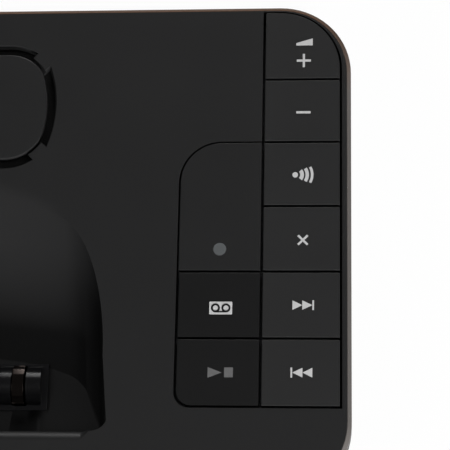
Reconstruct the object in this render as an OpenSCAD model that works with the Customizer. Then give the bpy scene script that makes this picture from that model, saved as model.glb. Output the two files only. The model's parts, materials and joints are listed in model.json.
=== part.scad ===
// Desk base of a cordless phone: empty handset cradle, loudspeaker and a field of eight keys.
// Millimetres. +X right, +Y back, +Z up; the origin is on the table under the middle of the box.
// Most pieces are drawn in the deck frame: x right, y up the slope, z square to the deck, z = 0 on its face.

/* [Body] */
// Width across the rim
body_width = 115; // [113:1:118]
// Depth along the slope of the deck
body_depth = 97; // [96:0.5:99]
// Height of the middle of the deck above the table
deck_height = 31; // [30.5:0.5:33]
// Slope of the deck, front edge low (degrees)
deck_slope = 7; // [6:0.5:8]
// Plan radius of the body corners
corner_radius = 14; // [13:0.5:15]
// Wall of the lower housing
wall = 2; // [1.8:0.1:2.4]
// Lean of the sides and front of the lower housing (degrees)
wall_lean = 6; // [4:0.5:8]
// Floor of the lower housing
floor_thick = 2; // [1.8:0.1:2.4]
// Thickness of the deck plate
plate_thick = 2; // [1.8:0.1:2.2]
// Width of the bright rim round the deck
rim_width = 0.85; // [0.7:0.05:1]
// Depth of the rim band down the side
rim_band = 3.6; // [3.2:0.2:4.2]
// Depth of the skirt that drops inside the housing
skirt_depth = 7; // [6:0.5:8]
// Wall of the skirt
skirt_wall = 1.2; // [1:0.1:1.3]

/* [Key field] */
// Rim to the right edge of the key opening
key_margin_right = 1.75; // [1.6:0.05:2]
// Rim to the back edge of the key opening
key_margin_back = 1.05; // [1.02:0.02:1.3]
// Pitch of the right column of keys
column_pitch = 15.35; // [14.5:0.1:15.8]
// Pitch of the left column
left_pitch = 16.1; // [15.2:0.1:16.6]
// Depth of the backmost key
first_row = 14.4; // [14:0.1:14.8]
// Pitch of the key rows
row_pitch = 13; // [12.8:0.1:13.2]
// Gap between neighbouring keys
key_gap = 0.5; // [0.4:0.05:0.7]
// Gap round the indicator window
window_gap = 0.35; // [0.3:0.05:0.5]
// Corner radius of the indicator window
window_radius = 8.3; // [7:0.5:9]
// Front corner radius of the play key
play_radius = 3; // [2:0.5:4]
// Thickness of a key cap
cap_thick = 2.4; // [2.2:0.1:2.6]
// Key travel
key_travel = 0.7; // [0.5:0.1:0.8]
// Width of a key stem
stem = 4.6; // [4.2:0.2:5]
// Running clearance of a stem in its guide, each side
stem_clear = 0.05; // [0.04:0.01:0.08]
// Diameter of the light pipe
pipe_d = 2.5; // [2.3:0.1:2.8]

/* [Cradle] */
// Left rim to the middle of the cradle
cradle_from_left = 41.9; // [41.5:0.1:42.5]
// Width of the cradle
cradle_width = 52.3; // [51.5:0.1:53]
// Back rim to the top of the cradle arch
cradle_from_back = 38.15; // [37.8:0.05:38.6]
// Length of the cradle on the deck
cradle_length = 46.95; // [46.4:0.05:47.5]
// Lean of the backrest below the deck (degrees)
cradle_angle = 25; // [24:0.5:26]
// Height of the rounded part of the cradle section
cradle_round = 13.8; // [13.4:0.1:14.2]
// Radius of the sides of the cradle section
cradle_side_radius = 11.8; // [11.4:0.1:12.2]
// Lean of the cradle's sides above their rounding (degrees)
cradle_flare = 12; // [10:0.5:14]
// Plan radius of the front corners of the cradle
cradle_corner = 2.9; // [2:0.3:4]
// Depth of the middle of the cradle's floor below the deck
cradle_floor = 14.3; // [14:0.1:14.6]
// Radius of the hollow of the cradle's floor
floor_radius = 140; // [120:5:160]
// Radius of the front lip of the cradle
lip_radius = 1.9; // [1.6:0.1:2.1]
// Wall of the cradle
cradle_wall = 2; // [1.8:0.1:2.2]
// Spacing of the two charging contacts
contact_spacing = 16; // [15.6:0.1:16.4]
// Width of a charging contact
contact_width = 2.3; // [2:0.1:2.5]
// Travel of a charging contact
contact_travel = 1; // [0.8:0.1:1.1]
// Depth of the contact ribs below the deck
rib_depth = 10.4; // [10.2:0.1:10.6]

/* [Loudspeaker] */
// Back rim to the middle of the loudspeaker
speaker_from_back = 20.65; // [20.4:0.05:20.9]
// Length of the loudspeaker opening
opening_length = 29.9; // [29.4:0.1:30.4]
// Depth of the loudspeaker opening
opening_depth = 26; // [25.6:0.1:26.4]
// Corner radius of the opening
opening_radius = 10.2; // [9.8:0.1:10.6]
// Radius of the bowed ends of the opening
opening_bow = 24; // [22:1:28]
// Width of the sound slots
slot_width = 2; // [1.8:0.1:2.2]
// Width of the corner lands
land_width = 3.6; // [3.2:0.1:4]
// Diameter of the loudspeaker
speaker_d = 34; // [33.6:0.1:34.2]

/* [Inside] */
// Thickness of the circuit board
board_thick = 1.6; // [1.4:0.1:1.8]
// Depth of the board's upper face below the deck
board_depth = 12.6; // [12.4:0.1:12.8]
// Width of the line socket body
line_width = 13.5; // [13:0.1:13.8]
// Width of the power socket body
power_width = 9; // [8.8:0.1:9.4]
// Diameter of the case screw posts
post_d = 6; // [5.6:0.1:6.4]
// Foot diameter
foot_d = 10; // [9:0.5:11]
// Height of the floor above the table
foot_lift = 1; // [0.8:0.1:1.2]

/* [Hidden] */
$fn = 72;
far = 200;

// cover outline
cover_width = body_width - 2*rim_width;
cover_depth = body_depth - 2*rim_width;
cover_radius = corner_radius - rim_width;
skirt_step = 0.4;
lip_clear = 0.1;
lip_wall = rim_width + skirt_step - lip_clear;
trim_clear = 0.03;
rim_flat = 0.15;
rim_bevel = rim_width - rim_flat;

// lower tub: where its walls start to lean and a level below the table
lean_top = skirt_depth + 1;
tub_low = deck_height + body_depth/8;

// slope and placing
slope_sin = sin(deck_slope);
slope_cos = cos(deck_slope);
front_y = -body_depth/2*slope_cos + rim_bevel*slope_sin;
rear_y = body_depth/2*slope_cos + (deck_height - foot_lift + body_depth/2*slope_sin)*tan(deck_slope);
deck_y = -(front_y + rear_y)/2;

// key field lines
edge_gap = key_gap - 0.05;
back_gap = key_gap - 0.2;
field_right = body_width/2 - key_margin_right;
field_back = body_depth/2 - key_margin_back;
field_radius = corner_radius - key_margin_right;
column_line = field_right - column_pitch;
left_line = column_line - left_pitch;
function row_line(k) = field_back - first_row - (k - 1)*row_pitch;
field_front = row_line(6) - key_gap/2;
field_left = left_line - window_gap/2;
window_back = row_line(2) + window_gap/2;
right_mid = (column_line + key_gap/2 + field_right - edge_gap)/2;
left_mid = (left_line + column_line)/2;
function row_mid(k) = (row_line(k) + (k == 1 ? field_back - key_gap/2 : row_line(k - 1)))/2;

// levels below the deck
key_room = cap_thick + key_travel + 0.3;
guide_top = key_room + 0.4;
guide_thick = 1.4;
guide_low = guide_top + guide_thick;
barb_top = guide_low + 0.3;
stem_low = 8.2;
switch_top = stem_low + key_travel + 0.3;
plunger_low = switch_top + 1.4;
board_low = board_depth + board_thick;
plunger_d = 3.2;
plunger_clear = 0.05;

// fixing points in the deck frame
board_set_back = 8;
board_clear = 0.6;
front_strip = field_front + body_depth/2 - wall;
foot_inset = 16;
board_left = left_line - 10.2;
board_right = body_width/2 - 4.2;
board_back = body_depth/2 - wall - 1;
board_front = -body_depth/2 + wall + board_set_back;
case_posts = [
  [body_width/2 - 10, -body_depth/2 + 8.5],
  [board_left - 5.6, body_depth/2 - 8],
  [-body_width/2 + 8.5, body_depth/2 - 9],
  [-body_width/2 + 8.5, -body_depth/2 + 9]
];
board_posts = [
  [left_line - 6.6, row_mid(6) - 1.4],
  [left_line - 6.6, row_mid(3) - 1.4],
  [left_line + 7.7, row_line(2) + 8.6],
  [left_line + 12.7, field_front - 0.2*front_strip]
];
post_low = 16;
post_seat = 4;
screw_d = 2.4;
board_screw_d = 2;
thread_clear = 0.04;

// cradle
cradle_x = -body_width/2 + cradle_from_left;
cradle_top = body_depth/2 - cradle_from_back;
cradle_half = cradle_width/2;
cradle_front = cradle_top - cradle_length;
cradle_rise = cradle_length*sin(cradle_angle);
flare_reach = (cradle_rise - cradle_round)*tan(cradle_flare);
side_x = cradle_half - cradle_side_radius;
rest_radius = (side_x^2 + cradle_round^2 - cradle_side_radius^2)/(2*(cradle_round - cradle_side_radius));
block_half = 13.5;
block_back = cradle_front + 15;
block_front = cradle_front + 5.8;
rib_tall = 2.5;
rib_round = 4.2;
rib_wide = 2.9;
block_depth = rib_depth + rib_tall;
contact_y = cradle_front + 10.65;
contact_bow = 5.6;
contact_sheet = 0.35;
contact_arc = 42;
contact_leg = 2.4;
contact_gap = 0.3;
contact_crest = rib_depth - 0.4;
contact_foot = contact_crest + contact_bow*(1 - cos(contact_arc)) + contact_leg;
slot_reach = 4;
peg_x = 2.7;
peg_d = 2.2;
peg_clear = 0.1;

// loudspeaker
speaker_x = cradle_x;
speaker_back = body_depth/2 - speaker_from_back;
ledge = 0.45;
groove = 0.6;
shelf_depth = 1.2;
bow_spare = 0.15;
land_x = opening_length/2 + bow_spare - opening_radius;
land_y = opening_depth/2 - opening_radius;
pin_reach = opening_radius - slot_width - 1.6;
speaker_seat = speaker_d + 0.8;
speaker_screws_at = [speaker_x - speaker_d/2 - 3.6, speaker_x + speaker_d/2 + 3.6];
gasket_thick = 1;
flange_thick = 1;
clamp_thick = 1.2;
basket_depth = 5.2;
basket_wall = 0.8;
basket_foot_d = 19;
coil_hole_d = 11;
coil_d = 10;
cone_foot_d = 14;
cone_tall = 3.3;
cone_sheet = 0.4;
magnet_d = 18;
magnet_thick = 4;
magnet_clear = 0.1;

// indicator and lead routes
pipe_y = row_line(4) + 4.4;
speaker_lead_y = row_line(2) + 2.6;
contact_lead_y = row_mid(6) + 4.6;
lead_d = 1.1;
lead_apart = 2;
lead_clear = 0.3;
plug_inset = 2;
plug_half_x = 2;
plug_half_y = 3;
plug_tall = 4.5;

// pieces on the board: place, width, depth and height
switch_half = 3;
shield_half_x = 10;
shield_half_y = 12;
shield_tall = 3.2;
shield_sheet = 0.4;
chip_list = [
  [left_mid, row_line(3) - 1, 12, 12, 1.4],
  [left_line + 1, row_line(2), 7, 6, 1.2],
  [right_mid, row_mid(5), 6, 12, 1.2]
];
capacitor_list = [
  [right_mid - 4, row_mid(2) - 4, 8, 11],
  [right_mid - 4, row_mid(3) - 2, 6.3, 9]
];
antenna_half = 10;
antenna_sheet = 0.5;
antenna_drop = 7;
antenna_strip = 2.5;

// sockets on the rear wall
socket_back = body_depth/2 - 0.2;
line_long = 15;
jack_half = 4.9;
jack_deep = 12;
power_long = 14;
power_bore = 6.3;
line_x = left_line - 2.3;
line_tall = 11.5;
power_x = column_line - 0.9;
power_tall = 11;
socket_clear = 0.3;

// a plain block between six planes
module block(x0, x1, y0, y1, z0, z1) {
  translate([x0, y0, z0]) cube([x1 - x0, y1 - y0, z1 - z0]);
}

// a round bar square to the deck
module rod(x, y, z0, z1, d) {
  translate([x, y, z0]) cylinder(d = d, h = z1 - z0);
}

// a plate with round corners about the middle
module slab(w, d, r, z0, z1) {
  block(-w/2 + r, w/2 - r, -d/2, d/2, z0, z1);
  block(-w/2, w/2, -d/2 + r, d/2 - r, z0, z1);
  for (x = [-w/2 + r, w/2 - r], y = [-d/2 + r, d/2 - r]) rod(x, y, z0, z1, 2*r);
}

// a plate with round corners and a 45 degree bevel round its upper edge
module bevelled_slab(w, d, r, c, z0, z1) {
  slab(w, d, r, z0, z1 - c);
  translate([0, 0, z1 - c]) {
    rotate([90, 0, 90]) linear_extrude(w - 2*r, center = true)
      polygon([[-d/2, 0], [d/2, 0], [d/2 - c, c], [-d/2 + c, c]]);
    rotate([90, 0, 0]) linear_extrude(d - 2*r, center = true)
      polygon([[-w/2, 0], [w/2, 0], [w/2 - c, c], [-w/2 + c, c]]);
    for (x = [-w/2 + r, w/2 - r], y = [-d/2 + r, d/2 - r])
      translate([x, y, 0]) cylinder(r1 = r, r2 = r - c, h = c);
  }
}

// what is left of its children between two bowed ends, w apart
module bowed_ends(w, bow) {
  intersection() {
    children();
    rod(bow - w/2, 0, -20, 20, 2*bow);
    rod(w/2 - bow, 0, -20, 20, 2*bow);
  }
}

// the outline of the loudspeaker opening as a plate, smaller all round by inset
module speaker_outline(inset, z0, z1) {
  bowed_ends(opening_length - 2*inset, opening_bow - inset)
    slab(
      opening_length + 2*bow_spare - 2*inset, opening_depth - 2*inset, opening_radius - inset, z0, z1
    );
}

// a plate with round corners whose sides and front lean in below its upper face
module leaning_slab(w, d, r, z0, z1) {
  h = z1 - z0;
  lean = h*tan(wall_lean);
  past = 2*r;
  intersection() {
    translate([0, past/2, z1]) {
      rotate([90, 0, 90]) linear_extrude(w - 2*r, center = true)
        polygon([
          [-(d + past)/2, 0], [(d + past)/2, 0], [(d + past)/2 - lean, -h], [lean - (d + past)/2, -h]
        ]);
      rotate([90, 0, 0]) linear_extrude(d + past - 2*r, center = true)
        polygon([[-w/2, 0], [w/2, 0], [w/2 - lean, -h], [lean - w/2, -h]]);
      for (x = [-w/2 + r, w/2 - r], y = [r - (d + past)/2, (d + past)/2 - r])
        translate([x, y, -h]) cylinder(r1 = r - lean, r2 = r, h = h);
    }
    translate([0, -past/2, 0]) slab(w, d + past, r, z0, z1);
  }
}

// the tub from its upper edge down past the table, smaller all round by inset
module tub(inset, top) {
  w = body_width - 2*inset;
  d = body_depth - 2*inset;
  r = corner_radius - inset;
  slab(w, d, r, -lean_top, top);
  leaning_slab(w, d, r, -tub_low, -lean_top);
}

// a block with one rounded upright edge; sx and sy pick the corner
module corner_block(x0, x1, y0, y1, z0, z1, r, sx, sy) {
  cx = sx > 0 ? x1 - r : x0 + r;
  cy = sy > 0 ? y1 - r : y0 + r;
  block(sx > 0 ? x0 : cx, sx > 0 ? cx : x1, y0, y1, z0, z1);
  block(x0, x1, sy > 0 ? y0 : cy, sy > 0 ? cy : y1, z0, z1);
  intersection() {
    rod(cx, cy, z0, z1, 2*r);
    block(
      sx > 0 ? x0 : x0 - r, sx > 0 ? x1 + r : x1, sy > 0 ? y0 : y0 - r, sy > 0 ? y1 + r : y1,
      z0 - r, z1 + r
    );
  }
}

// places the deck frame in the row frame
module deck() {
  translate([0, deck_y, deck_height]) rotate([deck_slope, 0, 0]) children();
}

// places the cradle frame in the deck frame: x across, y off the backrest, z down along it
module along_cradle() {
  translate([cradle_x, cradle_top, 0]) rotate([90 + cradle_angle, 0, 0]) children();
}

// the trough that takes the handset, open at its front and made larger all round by grow
module cradle_hollow(grow) {
  low = -12;
  long = 1.3*cradle_length - low;
  intersection() {
    along_cradle() translate([0, 0, low]) {
      intersection() {
        translate([0, rest_radius, 0]) cylinder(r = rest_radius + grow, h = long, $fn = 180);
        linear_extrude(long)
          polygon([
            [0, rest_radius],
            [-1.6*side_x, rest_radius + 1.6*(cradle_round - rest_radius)],
            [1.6*side_x, rest_radius + 1.6*(cradle_round - rest_radius)]
          ]);
      }
      for (s = [-1, 1]) translate([s*side_x, cradle_round, 0])
        cylinder(r = cradle_side_radius + grow, h = long);
      linear_extrude(long)
        polygon([
          [-cradle_half - grow, cradle_round], [cradle_half + grow, cradle_round],
          [cradle_half + grow + 2*flare_reach, 2*cradle_rise - cradle_round],
          [-cradle_half - grow - 2*flare_reach, 2*cradle_rise - cradle_round]
        ]);
    }
    translate([cradle_x, 0, floor_radius - cradle_floor]) rotate([90, 0, 0])
      cylinder(r = floor_radius + grow, h = far, center = true, $fn = 180);
  }
}

// the trough closed by its upright front wall, with the front corners rounded in plan
module cradle_cut() {
  back = cradle_front + 90;
  intersection() {
    cradle_hollow(0);
    translate([cradle_x, (cradle_front + back)/2, 0])
      slab(cradle_width + 2*flare_reach, back - cradle_front, cradle_corner, -40, 10);
  }
}

// the strip cut off the front edge of the cradle to leave a rounded lip
module lip_cut() {
  centre = cradle_front - lip_radius;
  reach = cradle_half + flare_reach - cradle_corner;
  translate([cradle_x, 0, 0]) difference() {
    rotate([90, 0, 90]) linear_extrude(2*reach, center = true)
      polygon([
        [centre, 0.5], [cradle_front + 0.5, 0.5], [cradle_front + 0.5, -lip_radius], [centre, -lip_radius]
      ]);
    translate([0, centre, -lip_radius]) rotate([0, 90, 0])
      cylinder(r = lip_radius, h = 2*reach + 2, center = true);
  }
}

// the opening for all keys and the indicator window
module field_cut(z0, z1) {
  intersection() {
    corner_block(0, field_right, field_front, field_back, z0, z1, field_radius, 1, 1);
    block(column_line - key_gap/2, far, -far, far, z0, z1);
  }
  corner_block(field_left, column_line, row_line(5), window_back, z0, z1, window_radius, -1, 1);
  corner_block(field_left, column_line, field_front, row_line(5) + 1, z0, z1, play_radius, -1, -1);
}

// the four lands at the corners of the loudspeaker opening
module lands(z0, z1, inner) {
  for (sx = [-1, 1], sy = [-1, 1])
    translate([speaker_x + sx*land_x, speaker_back + sy*land_y, 0])
      rotate([0, 0, sx > 0 ? sy*45 : 180 - sy*45])
        block(inner, opening_radius + 2, -land_width/2, land_width/2, z0, z1);
}

// one child at each pin of the loudspeaker plate
module at_pins() {
  for (sx = [-1, 1], sy = [-1, 1])
    translate([
      speaker_x + sx*(land_x + pin_reach*cos(45)),
      speaker_back + sy*(land_y + pin_reach*sin(45)),
      0
    ]) children();
}

// Casing
// Deck plate, skirt, cradle and posts in one black moulding.
module top_cover() {
  color([0.10, 0.10, 0.11]) deck() difference() {
    union() {
      difference() {
        union() {
          slab(cover_width, cover_depth, cover_radius, -rim_band, 0);
          slab(
            cover_width - 2*skirt_step, cover_depth - 2*skirt_step, cover_radius - skirt_step,
            -skirt_depth, -1
          );
        }
        slab(
          cover_width - 2*skirt_wall, cover_depth - 2*skirt_wall, cover_radius - skirt_wall,
          -skirt_depth - 1, -plate_thick
        );
      }
      intersection() {
        cradle_hollow(cradle_wall);
        slab(
          cover_width - 2*skirt_step, cover_depth - 2*skirt_step, cover_radius - skirt_step,
          -60, -0.5*plate_thick
        );
        block(-far, far, cradle_front - cradle_wall, far, -far, far);
      }
      intersection() {
        translate([speaker_x, speaker_back, 0]) difference() {
          rod(0, 0, -plate_thick - gasket_thick - flange_thick, -1, speaker_seat + 2.2);
          rod(0, 0, -20, -plate_thick, speaker_seat);
        }
        slab(cover_width - 1, cover_depth - 1, cover_radius - 0.5, -20, 0);
      }
      for (x = speaker_screws_at)
        rod(x, speaker_back, -plate_thick - gasket_thick - flange_thick, -1, 4.4);
      for (p = case_posts) rod(p.x, p.y, -post_low, -1, post_d);
      for (p = board_posts) rod(p.x, p.y, -guide_top, -1, 5.4);
    }
    cradle_cut();
    lip_cut();
    field_cut(-key_room, 1);
    rod(speaker_x, speaker_back, -plate_thick - gasket_thick - flange_thick - 2, -plate_thick, speaker_seat);
    difference() {
      translate([speaker_x, speaker_back, 0]) {
        speaker_outline(0, -shelf_depth, 1);
        speaker_outline(ledge, -plate_thick - 0.5, -shelf_depth + 0.1);
      }
      lands(-plate_thick - 1, 2, pin_reach - 1.4);
    }
    translate([speaker_x, speaker_back, 0]) speaker_outline(slot_width - groove, -shelf_depth, 1);
    at_pins() rod(0, 0, -plate_thick - 1, 0, 1.5);
    for (x = speaker_screws_at) rod(x, speaker_back, -20, -1.2, board_screw_d + thread_clear);
    for (p = case_posts) rod(p.x, p.y, -post_low - 1, -post_low + 9, screw_d + thread_clear);
    for (p = board_posts) rod(p.x, p.y, -20, -1, board_screw_d + thread_clear);
    contact_slots(-40, -rib_depth);
    block_pegs(peg_d + 2*peg_clear, 2);
  }
}

// Bright band pressed over the skirt; its bevel is the light line round the deck.
module rim_trim() {
  color([0.42, 0.41, 0.40]) deck() difference() {
    bevelled_slab(body_width, body_depth, corner_radius, rim_bevel, -rim_band, 0);
    slab(
      cover_width + 2*trim_clear, cover_depth + 2*trim_clear, cover_radius + trim_clear, -rim_band - 1, 1
    );
  }
}

// Lower tub with a straight rear wall, sides and front that lean in, and a level floor.
module housing() {
  color([0.11, 0.11, 0.12]) difference() {
    union() {
      intersection() {
        deck() {
          difference() {
            tub(0, -rim_band);
            tub(wall, 0);
          }
          for (p = case_posts) rod(p.x, p.y, -tub_low, -post_low, post_d + 2);
        }
        block(-far, far, -far, far, foot_lift, far);
      }
      intersection() {
        deck() tub(wall/2, -rim_band);
        block(-far, far, -far, far, foot_lift, foot_lift + floor_thick);
      }
    }
    deck() {
      slab(
        body_width - 2*lip_wall, body_depth - 2*lip_wall, corner_radius - lip_wall,
        -skirt_depth - 0.4, 0
      );
      for (p = case_posts) {
        rod(p.x, p.y, -tub_low, -post_low - post_seat, 5.2);
        rod(p.x, p.y, -tub_low, -post_low + 1, screw_d + 0.4);
      }
      block(
        line_x - line_width/2 - socket_clear, line_x + line_width/2 + socket_clear,
        body_depth/2 - wall - 2, far,
        -board_low - line_tall - socket_clear, -board_low + socket_clear
      );
      block(
        power_x - power_width/2 - socket_clear, power_x + power_width/2 + socket_clear,
        body_depth/2 - wall - 2, far,
        -board_low - power_tall - socket_clear, -board_low + socket_clear
      );
    }
    at_feet() translate([0, 0, foot_lift - 1]) cylinder(d = foot_d + 0.2, h = 1 + 0.6*floor_thick);
    for (i = [0:5]) block(-8 + 6*i, -6 + 6*i, deck_y + 12, deck_y + 30, -1, 10);
  }
}

// one child under each corner of the floor
module at_feet() {
  middle = deck_y + (deck_height - foot_lift)*slope_sin;
  for (x = [-1, 1], y = [-1, 1])
    translate([x*(body_width/2 - foot_inset), middle + y*(body_depth/2 - foot_inset - 1), 0]) children();
}

// Four soft pads in pockets under the floor.
module rubber_feet() {
  color([0.16, 0.16, 0.16]) at_feet() cylinder(d = foot_d, h = foot_lift + 0.6*floor_thick);
}

// a pan-head screw pointing up the deck normal, its head seat at z = 0
module screw(shank_d, long, head_d, head_h) {
  translate([0, 0, -0.1]) cylinder(d = shank_d, h = long + 0.1);
  difference() {
    translate([0, 0, -head_h]) cylinder(d = head_d, h = head_h);
    for (a = [0, 90]) rotate([0, 0, a]) block(-head_d*0.32, head_d*0.32, -0.3, 0.3, -head_h - 1, -head_h*0.4);
  }
}

// Four screws from below that hold the housing to the cover posts.
module case_screws() {
  color([0.55, 0.56, 0.58]) deck() for (p = case_posts)
    translate([p.x, p.y, -post_low - post_seat]) screw(screw_d, post_seat + 8, 4.6, 1.8);
}

// Cradle
// the slots in which the charging contacts move
module contact_slots(z0, z1) {
  wide = contact_width + 2*contact_gap;
  for (s = [-1, 1]) translate([cradle_x + s*contact_spacing/2, contact_y, 0])
    block(-wide/2, wide/2, -slot_reach, slot_reach, z0, z1);
}

// two pegs that reach down beyond the floor of the cradle
module block_pegs(d, beyond) {
  for (s = [-1, 1])
    rod(cradle_x + s*peg_x, contact_y, -cradle_floor - cradle_wall - beyond, -block_depth - 0.1, d);
}

// Raised block on the floor of the cradle with two round-backed ribs beside each contact.
module contact_block() {
  wide = contact_width + 2*contact_gap;
  color([0.07, 0.07, 0.08]) deck() difference() {
    union() {
      intersection() {
        translate([cradle_x, 0, 0]) {
          block(-block_half, block_half, block_front, block_back, -40, -block_depth);
          for (s = [-1, 1]) translate([s*contact_spacing/2, contact_y, -rib_depth - rib_round])
            rotate([0, 90, 0]) cylinder(r = rib_round, h = wide + 2*rib_wide, center = true);
        }
        cradle_hollow(-0.02);
      }
      block_pegs(peg_d, 0.4);
    }
    contact_slots(-40, 0);
  }
}

// a bowed spring strip with two legs and a solder tail, drawn about its own middle
module charge_contact(s) {
  x = cradle_x + s*contact_spacing/2;
  half = contact_width/2;
  reach = contact_bow*sin(contact_arc);
  drop = contact_bow*cos(contact_arc);
  color([0.80, 0.74, 0.58]) deck() translate([x, contact_y, -contact_crest - contact_bow])
    rotate([90, 0, 90]) {
      intersection() {
        difference() {
          cylinder(r = contact_bow, h = contact_width, center = true);
          cylinder(r = contact_bow - contact_sheet, h = contact_width + 1, center = true);
        }
        block(-reach, reach, drop - 0.2, contact_bow + 1, -2, 2);
      }
      block(-reach, -reach + contact_sheet, drop - contact_leg, drop + 0.1, -half, half);
      block(reach - contact_sheet, reach, drop - contact_leg, drop + 0.1, -half, half);
      block(-reach, reach, drop - contact_leg, drop - contact_leg + contact_sheet, -half, half);
    }
}

module charge_contact_left() {
  charge_contact(-1);
}

module charge_contact_right() {
  charge_contact(1);
}

// Loudspeaker
// Cover plate over the loudspeaker, staked to the corner lands by four pins.
module speaker_plate() {
  color([0.09, 0.09, 0.10]) deck() {
    translate([speaker_x, speaker_back, 0])
      bowed_ends(opening_length - 2*slot_width, opening_bow - slot_width)
        bevelled_slab(
          opening_length + 2*bow_spare - 2*slot_width, opening_depth - 2*slot_width,
          opening_radius - slot_width, 0.25, -shelf_depth, 0
        );
    at_pins() rod(0, 0, -plate_thick, -shelf_depth + 0.1, 1.4);
  }
}

// Felt ring with a thin cloth that closes the sound path to the deck.
module speaker_gasket() {
  color([0.05, 0.05, 0.05]) deck() translate([speaker_x, speaker_back, -plate_thick - gasket_thick]) {
    difference() {
      cylinder(d = speaker_d, h = gasket_thick);
      translate([0, 0, 0.4]) cylinder(d = speaker_d - 2, h = gasket_thick);
    }
  }
}

// Pressed steel basket of the loudspeaker.
module speaker_frame() {
  z = -plate_thick - gasket_thick;
  color([0.45, 0.46, 0.48]) deck() translate([speaker_x, speaker_back, z]) difference() {
    union() {
      translate([0, 0, -flange_thick]) cylinder(d = speaker_d, h = flange_thick);
      translate([0, 0, -basket_depth])
        cylinder(d1 = basket_foot_d, d2 = speaker_d - 4, h = basket_depth - basket_wall);
    }
    translate([0, 0, basket_wall - basket_depth])
      cylinder(d1 = basket_foot_d - 3*basket_wall, d2 = speaker_d - 5, h = basket_depth - basket_wall + 0.2);
    translate([0, 0, -basket_depth - basket_wall]) cylinder(d = coil_hole_d, h = 3);
  }
}

// Paper cone with its dust cap and voice coil.
module speaker_cone() {
  color([0.20, 0.19, 0.18]) deck() translate([speaker_x, speaker_back, -plate_thick - gasket_thick]) {
    difference() {
      translate([0, 0, -cone_tall - 0.1]) cylinder(d1 = cone_foot_d, d2 = speaker_d - 6, h = cone_tall);
      translate([0, 0, cone_sheet - cone_tall - 0.1])
        cylinder(d1 = cone_foot_d, d2 = speaker_d - 6, h = cone_tall);
    }
    translate([0, 0, cone_sheet - basket_depth]) cylinder(d = coil_d, h = basket_depth - cone_tall - 0.1);
  }
}

// Magnet and yoke behind the basket.
module speaker_magnet() {
  z = -plate_thick - gasket_thick - basket_depth;
  color([0.30, 0.30, 0.32]) deck() translate([speaker_x, speaker_back, z])
    difference() {
      translate([0, 0, -magnet_thick]) cylinder(d = magnet_d, h = magnet_thick);
      translate([0, 0, -1]) cylinder(d = coil_hole_d, h = 2);
    }
}

// Ring that clamps the loudspeaker flange against the felt.
module speaker_clamp() {
  z = -plate_thick - gasket_thick - flange_thick;
  color([0.14, 0.14, 0.15]) deck() difference() {
    union() {
      rod(speaker_x, speaker_back, z - clamp_thick, z, speaker_d + 1);
      for (x = speaker_screws_at) {
        rod(x, speaker_back, z - clamp_thick, z, 6);
        block(min(x, speaker_x), max(x, speaker_x), speaker_back - 3, speaker_back + 3, z - clamp_thick, z);
      }
    }
    rod(speaker_x, speaker_back, z - 5, z + 1, speaker_d - 3.4);
    for (x = speaker_screws_at) rod(x, speaker_back, z - 5, z + 1, board_screw_d + 0.3);
  }
}

// Two short screws of the clamp ring.
module speaker_screws() {
  color([0.55, 0.56, 0.58]) deck() for (x = speaker_screws_at)
    translate([x, speaker_back, -plate_thick - gasket_thick - flange_thick - clamp_thick])
      screw(board_screw_d, 3.6, 3.6, 1.3);
}

// Keys
// a stem with two barbs under its cap
module key_stem(x, y) {
  block(x - stem/2, x + stem/2, y - stem/2, y + stem/2, -stem_low, -cap_thick + 0.5);
  for (s = [-1, 1]) translate([x + s*stem/2, y, 0])
    block(-0.5, 0.5, -1.2, 1.2, -barb_top - 0.7, -barb_top);
}

// a key of the right column by its row; the backmost one follows the corner of the body
module right_key(k) {
  color([0.11, 0.11, 0.12]) deck() {
    x0 = column_line + key_gap/2;
    x1 = field_right - edge_gap;
    y0 = row_line(k) + key_gap/2;
    if (k == 1) intersection() {
      corner_block(0, x1, 0, field_back - back_gap, -cap_thick, 0, field_radius - edge_gap, 1, 1);
      block(x0, far, y0, far, -cap_thick, 0);
    }
    else block(x0, x1, y0, row_line(k - 1) - key_gap/2, -cap_thick, 0);
    key_stem(right_mid, row_mid(k));
  }
}

module key_volume_up() {
  right_key(1);
}

module key_volume_down() {
  right_key(2);
}

module key_page() {
  right_key(3);
}

module key_delete() {
  right_key(4);
}

module key_next() {
  right_key(5);
}

module key_previous() {
  right_key(6);
}

// Answering machine on and off, left column.
module key_answer() {
  color([0.08, 0.08, 0.09]) deck() {
    block(
      field_left + key_gap, column_line - key_gap/2, row_line(5) + key_gap/2, row_line(4) - key_gap/2,
      -cap_thick, 0
    );
    key_stem(left_mid, row_mid(5));
  }
}

// Play and stop, left column.
module key_play() {
  color([0.08, 0.08, 0.09]) deck() {
    corner_block(
      field_left + key_gap, column_line - key_gap/2, row_line(6) + key_gap/2, row_line(5) - key_gap/2,
      -cap_thick, 0, play_radius - key_gap/2, -1, -1
    );
    key_stem(left_mid, row_mid(6));
  }
}

// the button of the switch under a stem
module plunger(x, y) {
  color([0.75, 0.72, 0.62]) deck() rod(x, y, -plunger_low, -stem_low, plunger_d);
}

module plunger_volume_up() {
  plunger(right_mid, row_mid(1));
}

module plunger_volume_down() {
  plunger(right_mid, row_mid(2));
}

module plunger_page() {
  plunger(right_mid, row_mid(3));
}

module plunger_delete() {
  plunger(right_mid, row_mid(4));
}

module plunger_next() {
  plunger(right_mid, row_mid(5));
}

module plunger_previous() {
  plunger(right_mid, row_mid(6));
}

module plunger_answer() {
  plunger(left_mid, row_mid(5));
}

module plunger_play() {
  plunger(left_mid, row_mid(6));
}

// one child at each switch
module at_switches() {
  for (k = [1:6]) translate([right_mid, row_mid(k), 0]) children();
  for (k = [5, 6]) translate([left_mid, row_mid(k), 0]) children();
}

// Eight short-stroke switches on the board.
module key_switches() {
  color([0.22, 0.22, 0.23]) deck() at_switches() difference() {
    block(-switch_half, switch_half, -switch_half, switch_half, -board_depth, -switch_top);
    rod(0, 0, -plunger_low - key_travel - 0.3, 0, plunger_d + 2*plunger_clear);
  }
}

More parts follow.
